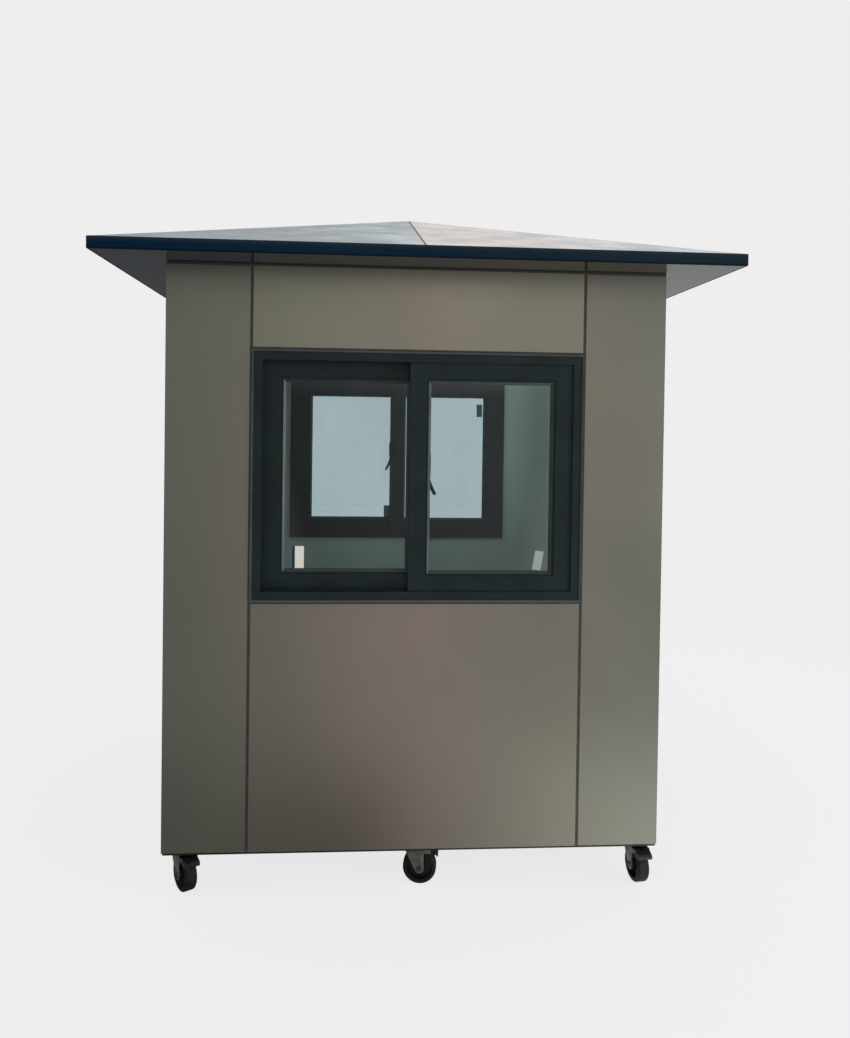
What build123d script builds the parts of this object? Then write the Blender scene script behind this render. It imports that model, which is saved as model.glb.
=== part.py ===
"""Security guard booth on casters: a square cabin with panel cladding, sliding windows and a hipped roof.

Millimetres. The origin is on the ground under the middle of the booth, +Z is up, the front faces -Y.
Each wall is modelled in its own frame, x along the wall, y inwards from the outer face of the cladding,
and is then turned into place. Each caster is modelled with its kingpin on Z and its wheel trailing
towards +X, and is then turned about the kingpin and moved to where it stands.
"""
import os
from math import atan2, cos, degrees, radians, sin, sqrt, tan

from build123d import *

# Cabin, in whole feet where the real one is
body_side = 1829.0
bay_width = 1219.0
cladding_height = 2134.0
cladding_thickness = 4.0
core_thickness = 56.0
joint_width = 11.0
joint_recess = 1.0
eave_joint = 6.0
sealant_width = 8.0
sealant_proud = 1.5

# Chassis and floor
chassis_tube = 50.0
chassis_lip = 8.0
member_tube = 40.0
pad_margin = 10.0
pad_thickness = 10.0
deck_thickness = 18.0

# Windows
window_height = 915.0
window_sill = 914.0
frame_proud = 8.0
frame_depth = 84.0
frame_web = 26.0
fin_height = 12.0
fin_thickness = 4.0
flange_thickness = 6.0
lip_width = 9.0
lip_height = 2.0
sash_depth = 30.0
sash_play = 2.0
sash_stile = 83.0
sash_rail = 78.0
meeting_stile = 70.0
bead_width = 10.0
bead_recess = 4.0
glass_thickness = 5.0
glass_inset = 10.0
glass_grip = 8.0

# Crescent latch on the room side of the inner sash
latch_above_sill = 500.0
latch_plate_height = 96.0
latch_plate_width = 28.0
latch_plate_thickness = 9.0
latch_plate_overhang = 15.0
latch_boss_radius = 11.0
latch_boss_height = 22.0
lever_drop = 108.0
lever_swing = 30.0
lever_width = 13.0
lever_thickness = 8.0

# Door
door_side_panel = 305.0
door_head_panel = 76.0
door_jamb = 40.0
door_rebate = 12.0
door_gap = 3.0
door_leaf_thickness = 46.0
door_leaf_proud = 4.0
door_stile = 110.0
door_top_rail = 120.0
door_light_height = 820.0
door_lock_rail = 130.0
door_kick_rail = 200.0
infill_recess = 8.0
threshold_gap = 1.0

# Door hinges and handles
hinge_inset = 230.0
hinge_length = 100.0
hinge_radius = 7.0
hinge_leaf_width = 24.0
hinge_leaf_thickness = 3.0
handle_height = 960.0
handle_inset = 55.0
handle_plate_width = 36.0
handle_plate_height = 200.0
handle_plate_thickness = 8.0
handle_plate_corner = 8.0
handle_plate_drop = 30.0
handle_radius = 9.0
handle_standoff = 46.0
handle_length = 115.0

# Roof
roof_overhang = 214.0
fascia_height = 41.0
fascia_thickness = 8.0
roof_rise = 342.0
sheet_thickness = 4.0
roof_joint = 8.0
seam_recess = 1.0
rafter = 40.0

# Caster wheels
wheel_radius = 62.5
wheel_width = 45.0
wheel_side_gap = 5.0
wheel_top_gap = 6.7
wheel_shoulder = 8.0
tyre_thickness = 16.0
rim_thickness = 4.0
wheel_web = 10.0
hub_radius = 19.0
hub_taper = 2.0
axle_radius = 6.0
axle_head_radius = 10.0
axle_head_height = 6.0

# Caster plates and forks
caster_inset_x = 60.0
caster_inset_y = 80.0
caster_trail = 30.0
plate_length = 100.0
plate_width = 85.0
plate_thickness = 4.0
plate_corner = 8.0
bolt_spacing_length = 80.0
bolt_spacing_width = 62.0
bolt_hole_radius = 4.5
race_radius = 31.0
race_height = 10.0
race_round = 4.5
race_gap = 0.3
kingpin_radius = 6.0
kingpin_head_radius = 10.0
kingpin_head_height = 3.0
pin_clearance = 0.08
crown_thickness = 6.0
crown_margin = 1.0
leg_thickness = 3.5
leg_front = 22.0
leg_back = 46.0
leg_shoulder_radius = 7.0
leg_drop = 0.5
leg_eye_radius = 17.0

# Brake pedals
pedal_pin_radius = 4.0
pedal_hub_radius = 8.0
pedal_pin_gap = 11.5
pedal_pin_angle = 62.0
pedal_reach = 35.0
pedal_fall = 10.0
pedal_plate_thickness = 5.0
pedal_lip = 11.0
tread_ribs = 3
tread_rib_height = 1.5
tread_rib_width = 4.0
shoe_gap = 0.5
shoe_lag = 14.0
shoe_spread = 7.0
fit_gap = 0.3

# Worked out from the sizes above
half = body_side / 2
bay_half = bay_width / 2
axle_z = wheel_radius
crown_bottom = 2 * wheel_radius + wheel_top_gap
fork_top = crown_bottom + crown_thickness
plate_z = fork_top + race_gap + race_height
caster_height = plate_z + plate_thickness
cladding_base = caster_height + chassis_lip
cladding_top = cladding_base + cladding_height
chassis_top = caster_height + chassis_tube
deck_top = chassis_top + deck_thickness
wall_thickness = cladding_thickness + core_thickness
core_half = half - cladding_thickness
inner_half = half - wall_thickness
panel_end = bay_half - joint_width / 2
corner_leg = bay_half + joint_width / 2
panel_top = cladding_top - eave_joint
window_half = corner_leg - sealant_width
window_bottom = cladding_base + window_sill
window_top = window_bottom + window_height
eave_half = half + roof_overhang
fascia_inside = eave_half - fascia_thickness
eave_top = cladding_top + fascia_height
slope = atan2(roof_rise, eave_half)
sheet_drop = sheet_thickness / cos(slope)

# How far past the eaves a roof shape runs that cuts another, so that its foot is under the fascia
overrun = 2 * fascia_height / tan(slope)

# The way each wall faces, as a turn about Z from the front
FRONT = 0
RIGHT = 90
REAR = 180
LEFT = 270
WINDOW_SIDES = {"front": FRONT, "left": LEFT, "rear": REAR}

# Where each caster stands, as shares of its reach in x and y, and which way it trails in degrees about Z
CASTERS = {
    "front_left": (-1, -1, -56),
    "front_middle": (0, -1, -8),
    "front_right": (1, -1, -82),
    "rear_left": (-1, 1, -40),
    "rear_middle": (0, 1, -24),
    "rear_right": (1, 1, -52),
}

os.makedirs("parts", exist_ok=True)


def save(name, *solids):
    """Writes one node; several solids become one compound."""
    shape = solids[0] if len(solids) == 1 else Compound(children=list(solids))
    export_step(shape, f"parts/{name}.step")


def slab(x0, x1, y0, y1, z0, z1):
    """A box from its lowest to its highest corner."""
    return Pos(x0, y0, z0) * Box(x1 - x0, y1 - y0, z1 - z0, align=(Align.MIN, Align.MIN, Align.MIN))


def ring(x0, x1, z0, z1, border, y0, y1):
    """A rectangular frame of one border, from depth y0 to y1."""
    inside = slab(x0 + border, x1 - border, y0 - 1, y1 + 1, z0 + border, z1 - border)
    return slab(x0, x1, y0, y1, z0, z1) - inside


def square_ring(outer, inner, z0, z1):
    """A level square ring centred on the booth."""
    return slab(-outer, outer, -outer, outer, z0, z1) - slab(-inner, inner, -inner, inner, z0 - 1, z1 + 1)


def bar_along_y(radius, y0, y1, x, z):
    return Pos(x, (y0 + y1) / 2, z) * Rot(90, 0, 0) * Cylinder(radius, y1 - y0)


def place(shape, side):
    """Turns a wall's own frame into the booth's frame."""
    return Rot(0, 0, side) * Pos(0, -half, 0) * shape


def mirrored(shape):
    return mirror(shape, about=Plane.YZ)


# Chassis and floor

def chassis():
    """Perimeter of square tube with two smaller cross members flush with its top, welded."""
    inner = core_half - chassis_tube
    frame = square_ring(core_half, inner, caster_height, chassis_top)
    member_z = chassis_top - member_tube
    for y in (-inner / 3, inner / 3):
        frame += slab(-inner, inner, y - member_tube / 2, y + member_tube / 2, member_z, chassis_top)
    # A wide steel flat along the front and the rear, so that each caster plate has steel over its whole face
    flat_edge = half - caster_inset_y - plate_width / 2 - pad_margin
    for y0, y1 in ((flat_edge, inner), (-inner, -flat_edge)):
        frame += slab(-inner, inner, y0, y1, caster_height, caster_height + pad_thickness)
    return frame


def floor_deck():
    return slab(-core_half, core_half, -core_half, core_half, chassis_top, deck_top)


# Walls

def plain_core(half_length):
    return slab(-half_length, half_length, cladding_thickness, wall_thickness, deck_top, cladding_top)


def windowed_core(half_length):
    opening = slab(-window_half, window_half, -1, wall_thickness + 1, window_bottom, window_top)
    return plain_core(half_length) - opening


# Cladding

def corner_panel(corner):
    """One folded sheet round a corner, as tall as the wall."""
    outline = [
        (-half, -half), (-corner_leg, -half), (-corner_leg, -core_half),
        (-core_half, -core_half), (-core_half, -corner_leg), (-half, -corner_leg),
    ]
    sheet = extrude(make_face(Polyline(*outline, close=True)), panel_top - cladding_base)
    return Rot(0, 0, corner * 90) * Pos(0, 0, cladding_base) * sheet


def bay_panel(x0, x1, z0, z1):
    return slab(x0, x1, 0, cladding_thickness, z0, z1)


def joint_strip(x, z0, z1):
    """Sealant in an upright joint between two panels."""
    return slab(x - joint_width / 2, x + joint_width / 2, joint_recess, cladding_thickness, z0, z1)


def window_sealant():
    """The bead round a window frame, with the joint strips above and below it."""
    x = window_half + sealant_width
    z0 = window_bottom - sealant_width
    z1 = window_top + sealant_width
    seal = ring(-x, x, z0, z1, sealant_width, -sealant_proud, cladding_thickness)
    for joint_x in (-bay_half, bay_half):
        seal += joint_strip(joint_x, cladding_base, z0)
        seal += joint_strip(joint_x, z1, panel_top)
    return seal


def eave_sealant():
    """The level joint between the top of the panels and the soffit."""
    return square_ring(half - joint_recess, core_half, panel_top, cladding_top)


# Windows. The outer sash slides on the right, the inner sash on the left, and they overlap in the middle.

outer_sash_y = sash_play
inner_sash_y = sash_depth + 3 * sash_play + fin_thickness
sash_end = window_half - frame_web - sash_play
sash_z0 = window_bottom + frame_web
sash_z1 = window_top - frame_web - sash_play
pane_x0 = meeting_stile / 2
pane_x1 = sash_end - sash_stile
pane_z0 = sash_z0 + sash_rail
pane_z1 = sash_z1 - sash_rail


def window_frame():
    """Extruded frame: an outer web, three fins that keep the sashes in their tracks, and a raised lip."""
    x = window_half
    outer_face = lip_height - frame_proud
    inner_face = frame_depth - frame_proud
    frame = ring(-x, x, window_bottom, window_top, frame_web, outer_face, inner_face)
    fins = [
        (outer_face, outer_face + flange_thickness),
        (outer_sash_y + sash_depth + sash_play, inner_sash_y - sash_play),
        (inner_face - fin_thickness, inner_face),
    ]
    for y0, y1 in fins:
        frame += ring(-x, x, window_bottom, window_top, frame_web + fin_height, y0, y1)
    return frame + ring(-x, x, window_bottom, window_top, lip_width, -frame_proud, outer_face)


def pane(y):
    """The right-hand pane, which reaches into the groove of its sash all round."""
    y0 = y + glass_inset
    return slab(pane_x0 - glass_grip, pane_x1 + glass_grip, y0, y0 + glass_thickness,
                pane_z0 - glass_grip, pane_z1 + glass_grip)


def sash(y):
    """The right-hand sash: two stiles and two rails with a stepped glazing bead on each face."""
    y1 = y + sash_depth
    block = slab(-meeting_stile / 2, sash_end, y, y1, sash_z0, sash_z1)
    block -= slab(pane_x0, pane_x1, y - 1, y1 + 1, pane_z0, pane_z1)
    for step_y0, step_y1 in ((y - 1, y + bead_recess), (y1 - bead_recess, y1 + 1)):
        block -= slab(pane_x0 - bead_width, pane_x1 + bead_width, step_y0, step_y1,
                      pane_z0 - bead_width, pane_z1 + bead_width)
    return block - pane(y)


def latch():
    """Crescent latch: a plate with round ends, a boss, and a curved lever that hangs down."""
    face = inner_sash_y + sash_depth
    z = window_bottom + latch_above_sill
    plate_x = meeting_stile / 2 + latch_plate_overhang - latch_plate_width / 2
    plate_y = face + latch_plate_thickness / 2
    plate = Pos(plate_x, plate_y, z) * Box(latch_plate_width, latch_plate_thickness, latch_plate_height)
    plate = fillet(plate.edges().filter_by(Axis.Y), latch_plate_width * 0.45)
    lever_y = face + latch_boss_height - lever_thickness / 2
    boss = bar_along_y(latch_boss_radius, face, face + latch_boss_height, plate_x, z)
    bend_radius = (lever_drop ** 2 + lever_swing ** 2) / (2 * lever_swing)
    bend_angle = 2 * atan2(lever_swing, lever_drop)
    bend_x = plate_x + bend_radius
    middle = (bend_x - bend_radius * cos(bend_angle / 2), lever_y, z - bend_radius * sin(bend_angle / 2))
    tip = (plate_x + lever_swing, lever_y, z - lever_drop)
    path = ThreePointArc((plate_x, lever_y, z), middle, tip)
    start = Plane(origin=path @ 0, z_dir=path % 0, x_dir=(1, 0, 0))
    lever = sweep(start * Rectangle(lever_width, lever_thickness), path)
    lever_face = lever_y - lever_thickness / 2
    end = bar_along_y(lever_width / 2, lever_face, lever_face + lever_thickness, tip[0], tip[2])
    return plate + boss + lever + end


# Door, in the right wall

door_x0 = -panel_end + door_side_panel
door_x1 = panel_end
door_z1 = panel_top - door_head_panel - joint_width
leaf_inset = door_jamb - door_rebate + door_gap
leaf_x0 = door_x0 + leaf_inset
leaf_x1 = door_x1 - leaf_inset
leaf_z0 = deck_top + leaf_inset
leaf_z1 = door_z1 - leaf_inset
leaf_y0 = -door_leaf_proud
leaf_y1 = leaf_y0 + door_leaf_thickness
light_x0 = leaf_x0 + door_stile
light_x1 = leaf_x1 - door_stile
light_z1 = leaf_z1 - door_top_rail
light_z0 = light_z1 - door_light_height
door_pane_y = (leaf_y0 + leaf_y1 - glass_thickness) / 2


def door_core(half_length):
    """The right wall, open from the floor deck to the head of the door frame."""
    doorway = slab(door_x0, door_x1, -1, wall_thickness + 1, deck_top - 1, door_z1)
    return plain_core(half_length) - doorway


def door_frame():
    frame = ring(door_x0, door_x1, deck_top, door_z1, door_jamb, -frame_proud, frame_depth - frame_proud)
    seat = door_jamb - door_rebate
    rebate = slab(door_x0 + seat, door_x1 - seat, -frame_proud - 1, leaf_y1, deck_top + seat, door_z1 - seat)
    return frame - rebate


def door_pane():
    return slab(light_x0 - glass_grip, light_x1 + glass_grip, door_pane_y, door_pane_y + glass_thickness,
                light_z0 - glass_grip, light_z1 + glass_grip)


def door_leaf():
    """Stiles and rails round a glazed light, and an infill panel set back on both faces under it."""
    leaf = slab(leaf_x0, leaf_x1, leaf_y0, leaf_y1, leaf_z0, leaf_z1)
    leaf -= slab(light_x0, light_x1, leaf_y0 - 1, leaf_y1 + 1, light_z0, light_z1)
    for y0, y1 in ((leaf_y0 - 1, leaf_y0 + infill_recess), (leaf_y1 - infill_recess, leaf_y1 + 1)):
        leaf -= slab(light_x0, light_x1, y0, y1, leaf_z0 + door_kick_rail, light_z0 - door_lock_rail)
    bead = bead_width
    for y0, y1 in ((leaf_y0 - 1, leaf_y0 + bead_recess), (leaf_y1 - bead_recess, leaf_y1 + 1)):
        leaf -= slab(light_x0 - bead, light_x1 + bead, y0, y1, light_z0 - bead, light_z1 + bead)
    return leaf - door_pane()


def door_hinge(z):
    """Butt hinge: a knuckle on a plate over the joint, with a packer between the plate and the leaf."""
    x = leaf_x1 + door_gap / 2
    z0 = z - hinge_length / 2
    z1 = z + hinge_length / 2
    plate_y = -frame_proud - hinge_leaf_thickness
    plate = slab(x - hinge_leaf_width, x + hinge_leaf_width, plate_y, -frame_proud, z0, z1)
    packer = slab(x - hinge_leaf_width, leaf_x1, -frame_proud, leaf_y0, z0, z1)
    knuckle = Pos(x, -frame_proud - hinge_radius, z) * Cylinder(hinge_radius, hinge_length)
    return plate + packer + knuckle


def door_handle(face, out):
    """Lever handle on a long plate; out is -1 on the outer face of the door and 1 on the inner one."""
    x = leaf_x0 + handle_inset
    z = leaf_z0 + handle_height
    plate = Box(handle_plate_width, handle_plate_thickness, handle_plate_height)
    plate = fillet(plate.edges().filter_by(Axis.Y), handle_plate_corner)
    plate = Pos(x, face + out * handle_plate_thickness / 2, z - handle_plate_drop) * plate
    lever_y = face + out * handle_standoff
    neck = bar_along_y(handle_radius, min(face, lever_y), max(face, lever_y), x, z)
    lever = Pos(x + handle_length / 2, lever_y, z) * Rot(0, 90, 0) * Cylinder(handle_radius, handle_length)
    elbow = Pos(x, lever_y, z) * Sphere(handle_radius)
    return plate + neck + elbow + lever


# Roof

def pyramid_below(drop, reach):
    """All that lies under the roof's outer surface lowered by drop, out to reach past the eaves."""
    base = eave_half + reach
    foot = Pos(0, 0, eave_top - drop - reach * tan(slope)) * Rectangle(2 * base, 2 * base)
    return Solid.make_loft([foot.wire(), Vertex(0, 0, eave_top - drop + roof_rise)])


def roof_slots():
    """Upright slots along the four hips and up the middle of the four slopes."""
    length = 2 * sqrt(2) * (eave_half + overrun)
    slot = Pos(0, 0, eave_top) * Box(length, roof_joint, 2 * (roof_rise + overrun))
    return slot + [Rot(0, 0, turn) * slot for turn in (45, 90, 135)]


def roof_shell(top_drop, bottom_drop):
    """The sheets' layer between two lowered roof surfaces, cut off plumb inside the edge trim."""
    top = eave_top + roof_rise + 1
    block = slab(-fascia_inside, fascia_inside, -fascia_inside, fascia_inside, cladding_top, top)
    return (pyramid_below(top_drop, overrun) & block) - pyramid_below(bottom_drop, 2 * overrun)


def fascia():
    """The edge trim, which covers the sheets' edges and has its top bevelled flush with them."""
    edge = square_ring(eave_half, fascia_inside, cladding_top, eave_top + fascia_height)
    return edge & pyramid_below(0, overrun)


def soffit():
    inside = core_half - core_thickness / 2
    return square_ring(fascia_inside, inside, cladding_top, cladding_top + sheet_thickness)


def ceiling():
    reach = core_half - core_thickness / 2
    return slab(-reach, reach, -reach, reach, cladding_top, cladding_top + sheet_thickness)


def roof_frame():
    """Wall plate, hip rafters and middle rafters of square tube under the sheets."""
    z0 = cladding_top + sheet_thickness
    frame = square_ring(half, half - rafter, z0, eave_top + 2 * rafter)
    length = 2 * sqrt(2) * eave_half
    beam = Pos(0, 0, eave_top) * Box(length, rafter, 4 * roof_rise)
    frame += [Rot(0, 0, turn) * beam for turn in (0, 45, 90, 135)]
    room = slab(-fascia_inside, fascia_inside, -fascia_inside, fascia_inside, z0, eave_top + roof_rise + 1)
    frame = frame & room & pyramid_below(sheet_drop, overrun)
    within = half - rafter
    attic = slab(-within, within, -within, within, z0 - 1, eave_top + roof_rise)
    return frame - (attic & pyramid_below(sheet_drop + rafter / cos(slope), overrun))


# Casters

leg_y = wheel_width / 2 + wheel_side_gap
leg_out = leg_y + leg_thickness
pedal_pin_reach = wheel_radius + pedal_pin_gap
pedal_pin_x = caster_trail + pedal_pin_reach * cos(radians(pedal_pin_angle))
pedal_pin_z = axle_z + pedal_pin_reach * sin(radians(pedal_pin_angle))


def xz_plate(outline, y0, y1):
    """A plate from an outline in X and Z, from y0 to y1."""
    return extrude(Plane.XZ.offset(-y1) * outline, y1 - y0)


def caster_plate():
    """Top plate with its bolt holes, upper race and kingpin, which stay with the chassis."""
    plate = Box(plate_length, plate_width, plate_thickness)
    plate = fillet(plate.edges().filter_by(Axis.Z), plate_corner)
    bolt_hole = Cylinder(bolt_hole_radius, 2 * plate_thickness)
    plate -= GridLocations(bolt_spacing_length, bolt_spacing_width, 2, 2) * bolt_hole
    plate = Pos(0, 0, plate_z + plate_thickness / 2) * plate
    race = Pos(0, 0, plate_z - race_height / 2) * Cylinder(race_radius, race_height)
    race = fillet(race.edges().group_by(Axis.Z)[0], race_round)
    head_top = crown_bottom - race_gap
    pin = Pos(0, 0, (head_top + plate_z) / 2) * Cylinder(kingpin_radius, plate_z - head_top)
    head = Pos(0, 0, head_top - kingpin_head_height / 2) * Cylinder(kingpin_head_radius, kingpin_head_height)
    return plate + race + pin + head


def caster_fork():
    """Pressed fork: a crown under the race, two legs, the axle and the pedal's pin.

    A leg's outline is the hull of its two shoulders and the eye of the axle, with an arm out to the eye of
    the pedal's pin.
    """
    crown = Pos(0, 0, fork_top - crown_thickness / 2) * Cylinder(race_radius - crown_margin, crown_thickness)
    crown += slab(-leg_front, leg_front, -leg_out, leg_out, crown_bottom, fork_top)
    shoulder_z = fork_top - leg_drop - leg_shoulder_radius
    front_shoulder = Pos(leg_shoulder_radius - leg_front, shoulder_z) * Circle(leg_shoulder_radius)
    back_shoulder = Pos(leg_back - leg_shoulder_radius, shoulder_z) * Circle(leg_shoulder_radius)
    axle_eye = Pos(caster_trail, axle_z) * Circle(leg_eye_radius)
    arm_root = Pos(leg_back - 2 * leg_shoulder_radius, pedal_pin_z) * Circle(leg_shoulder_radius)
    pin_eye = Pos(pedal_pin_x, pedal_pin_z) * Circle(pedal_hub_radius)
    outline = make_hull((front_shoulder + back_shoulder + axle_eye).edges())
    outline += make_hull((arm_root + pin_eye).edges())
    fork = crown + xz_plate(outline, -leg_out, -leg_y) + xz_plate(outline, leg_y, leg_out)
    fork -= Pos(0, 0, fork_top) * Cylinder(kingpin_radius + pin_clearance, 4 * crown_thickness)
    head_out = leg_out + axle_head_height
    fork += bar_along_y(axle_radius, -head_out, head_out, caster_trail, axle_z)
    for y0, y1 in ((-head_out, -leg_out), (leg_out, head_out)):
        fork += bar_along_y(axle_head_radius, y0, y1, caster_trail, axle_z)
    return fork + bar_along_y(pedal_pin_radius, -leg_out, leg_out, pedal_pin_x, pedal_pin_z)


def caster_wheel():
    """Tyre and core turned as one, with round shoulders, a thin web and a long hub."""
    bore = axle_radius + pin_clearance
    side = wheel_width / 2
    hub_side = leg_y - fit_gap
    web = wheel_web / 2
    rim = wheel_radius - tyre_thickness
    shoulder = wheel_radius - wheel_shoulder
    upper = [
        (shoulder, side), (rim, side), (rim - rim_thickness, web),
        (hub_radius + hub_taper, web), (hub_radius, hub_side), (bore, hub_side),
    ]
    lower = [(r, -z) for r, z in reversed(upper)]
    profile = Polyline(*upper, *lower)
    profile += RadiusArc((shoulder, -side), (wheel_radius, wheel_shoulder - side), -wheel_shoulder)
    profile += Line((wheel_radius, wheel_shoulder - side), (wheel_radius, side - wheel_shoulder))
    profile += RadiusArc((wheel_radius, side - wheel_shoulder), (shoulder, side), -wheel_shoulder)
    wheel = revolve(Plane.XZ * make_face(profile), Axis.Z)
    return Pos(caster_trail, 0, axle_z) * Rot(90, 0, 0) * wheel


def polar(reach, angle):
    """A point round the axle, in X and Z."""
    return caster_trail + reach * cos(radians(angle)), axle_z + reach * sin(radians(angle))


def caster_pedal():
    """Foot pedal with a ribbed tread and a brake shoe over the tyre, pressed down."""
    top = pedal_pin_z + pedal_hub_radius
    edge_x = pedal_pin_x + pedal_reach - pedal_plate_thickness
    edge_z = top - pedal_fall
    tip_x = pedal_pin_x + pedal_reach
    tip_z = edge_z - pedal_plate_thickness
    tread = [
        (pedal_pin_x, top), (edge_x, edge_z), (tip_x, tip_z), (tip_x, tip_z - pedal_lip),
        (edge_x, tip_z - pedal_lip), (edge_x - pedal_plate_thickness, tip_z),
        (pedal_pin_x, top - 2 * pedal_plate_thickness),
    ]
    shoe_angle = pedal_pin_angle - shoe_lag
    shoe = wheel_radius + shoe_gap
    lug = [
        polar(shoe - pedal_plate_thickness, shoe_angle + shoe_spread),
        polar(shoe - pedal_plate_thickness, shoe_angle - shoe_spread),
        polar(pedal_pin_reach + pedal_hub_radius, shoe_angle - shoe_spread), (pedal_pin_x, pedal_pin_z),
    ]
    outline = Pos(pedal_pin_x, pedal_pin_z) * Circle(pedal_hub_radius)
    outline += make_face(Polyline(*tread, close=True))
    outline += make_face(Polyline(*lug, close=True))
    outline -= Pos(caster_trail, axle_z) * Circle(shoe)
    run_x = edge_x - pedal_pin_x
    tilt = degrees(atan2(-pedal_fall, run_x))
    for rib in range(tread_ribs):
        share = (rib + 1) / (tread_ribs + 1)
        rib_place = Pos(pedal_pin_x + share * run_x, top - share * pedal_fall) * Rot(0, 0, tilt)
        outline += rib_place * Rectangle(tread_rib_width, 2 * tread_rib_height)
    half_width = leg_y - fit_gap
    pedal = xz_plate(outline, -half_width, half_width)
    return pedal - bar_along_y(pedal_pin_radius + pin_clearance, -leg_y, leg_y, pedal_pin_x, pedal_pin_z)


def kingpin(caster):
    """Where a caster's kingpin stands."""
    x_share, y_share, turn = caster
    return Pos(x_share * (half - caster_inset_x), y_share * (half - caster_inset_y), 0)


def stand(shape, caster):
    """Puts a caster's piece at its kingpin, turned the way the caster trails."""
    return kingpin(caster) * Rot(0, 0, caster[2]) * shape


# All pieces, one node each

save("chassis", chassis())
save("floor_deck", floor_deck())

caster_pieces = {"fork": caster_fork(), "wheel": caster_wheel(), "pedal": caster_pedal()}
top_plate = caster_plate()
save("caster_plates", *[kingpin(caster) * top_plate for caster in CASTERS.values()])
for name, caster in CASTERS.items():
    for piece, shape in caster_pieces.items():
        save(f"{name}_{piece}", stand(shape, caster))

save("front_wall", place(windowed_core(core_half), FRONT))
save("rear_wall", place(windowed_core(core_half), REAR))
save("left_wall", place(windowed_core(inner_half), LEFT))
save("right_wall", place(door_core(inner_half), RIGHT))

above_window = bay_panel(-panel_end, panel_end, window_top + sealant_width, panel_top)
below_window = bay_panel(-panel_end, panel_end, cladding_base, window_bottom - sealant_width)
door_panels = [
    bay_panel(-panel_end, door_x0 - joint_width, cladding_base, panel_top),
    bay_panel(door_x0, door_x1, door_z1 + joint_width, panel_top),
    bay_panel(door_x0, door_x1, cladding_base, deck_top - threshold_gap),
]
save("corner_panels", *[corner_panel(corner) for corner in range(4)])
save("upper_panels", *[place(above_window, side) for side in WINDOW_SIDES.values()])
save("lower_panels", *[place(below_window, side) for side in WINDOW_SIDES.values()])
save("door_side_panels", *[place(panel, RIGHT) for panel in door_panels])

sealant = eave_sealant()
sealant += [place(window_sealant(), side) for side in WINDOW_SIDES.values()]
sealant += [place(joint_strip(x, cladding_base, panel_top), RIGHT) for x in (-bay_half, bay_half)]
sealant += place(joint_strip(door_x0 - joint_width / 2, cladding_base, panel_top), RIGHT)
over_door = slab(door_x0, door_x1, joint_recess, cladding_thickness, door_z1, door_z1 + joint_width)
sealant += place(over_door, RIGHT)
save("panel_sealant", *sealant.solids())

right_sash, left_sash = sash(outer_sash_y), mirrored(sash(inner_sash_y))
right_pane, left_pane = pane(outer_sash_y), mirrored(pane(inner_sash_y))
for name, side in WINDOW_SIDES.items():
    save(f"{name}_window_frame", place(window_frame(), side))
    save(f"{name}_sashes", place(right_sash, side), place(left_sash, side))
panes = [place(glass, side) for side in WINDOW_SIDES.values() for glass in (right_pane, left_pane)]
save("window_panes", *panes)
save("window_latches", *[place(latch(), side) for side in WINDOW_SIDES.values()])

save("door_frame", place(door_frame(), RIGHT))
save("door_leaf", place(door_leaf(), RIGHT))
save("door_pane", place(door_pane(), RIGHT))
hinge_heights = (leaf_z0 + hinge_inset, (leaf_z0 + leaf_z1) / 2, leaf_z1 - hinge_inset)
door_fittings = [door_hinge(z) for z in hinge_heights] + [door_handle(leaf_y0, -1), door_handle(leaf_y1, 1)]
save("door_hardware", *[place(piece, RIGHT) for piece in door_fittings])

save("soffit", soffit())
save("ceiling", ceiling())
save("fascia", fascia())
save("roof_frame", roof_frame())
save("roof_sheets", *(roof_shell(0, sheet_drop) - roof_slots()).solids())
save("roof_seams", roof_shell(seam_recess, sheet_drop) & roof_slots())
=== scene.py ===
from math import cos, pi, radians, sin

import bmesh
import bpy
from mathutils import Matrix, Vector


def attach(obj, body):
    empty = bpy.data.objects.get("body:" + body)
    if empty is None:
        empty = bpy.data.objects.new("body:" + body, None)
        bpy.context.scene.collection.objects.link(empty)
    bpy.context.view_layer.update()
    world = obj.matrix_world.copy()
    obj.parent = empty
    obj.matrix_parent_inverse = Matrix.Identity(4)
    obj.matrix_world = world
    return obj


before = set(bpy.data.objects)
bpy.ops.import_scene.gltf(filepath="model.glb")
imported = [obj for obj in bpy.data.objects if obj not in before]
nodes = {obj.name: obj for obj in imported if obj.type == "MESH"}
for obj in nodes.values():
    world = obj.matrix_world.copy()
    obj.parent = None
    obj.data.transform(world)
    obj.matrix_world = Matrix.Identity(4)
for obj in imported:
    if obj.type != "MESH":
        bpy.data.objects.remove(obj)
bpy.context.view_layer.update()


# Chassis. A ring of square steel tube with two cross members and steel flats over the casters,
# welded up and sprayed with black enamel. The spray is thin underneath and dust lies on it.


def feed(tree, socket, value):
    """Sets a shader's socket to a value, or joins it to another node's output."""
    if isinstance(value, bpy.types.NodeSocket):
        tree.links.new(value, socket)
    else:
        socket.default_value = value


def add(tree, kind, sockets=None, **settings):
    """Adds a shader node with its settings and sockets."""
    made = tree.nodes.new("ShaderNode" + kind)
    for name, value in settings.items():
        setattr(made, name, value)
    for name, value in (sockets or {}).items():
        feed(tree, made.inputs[name], value)
    return made


def mix(tree, share, first, second):
    """A colour between two others."""
    made = add(tree, "Mix", data_type="RGBA")
    for index, value in ((0, share), (6, first), (7, second)):
        feed(tree, made.inputs[index], value)
    return made.outputs[2]


def spread(tree, value, low, high, start=0.35, end=0.65):
    """Turns the middle of a pattern's range into values from low to high."""
    sockets = {"Value": value, "From Min": start, "From Max": end, "To Min": low, "To Max": high}
    return add(tree, "MapRange", sockets).outputs[0]


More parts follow.
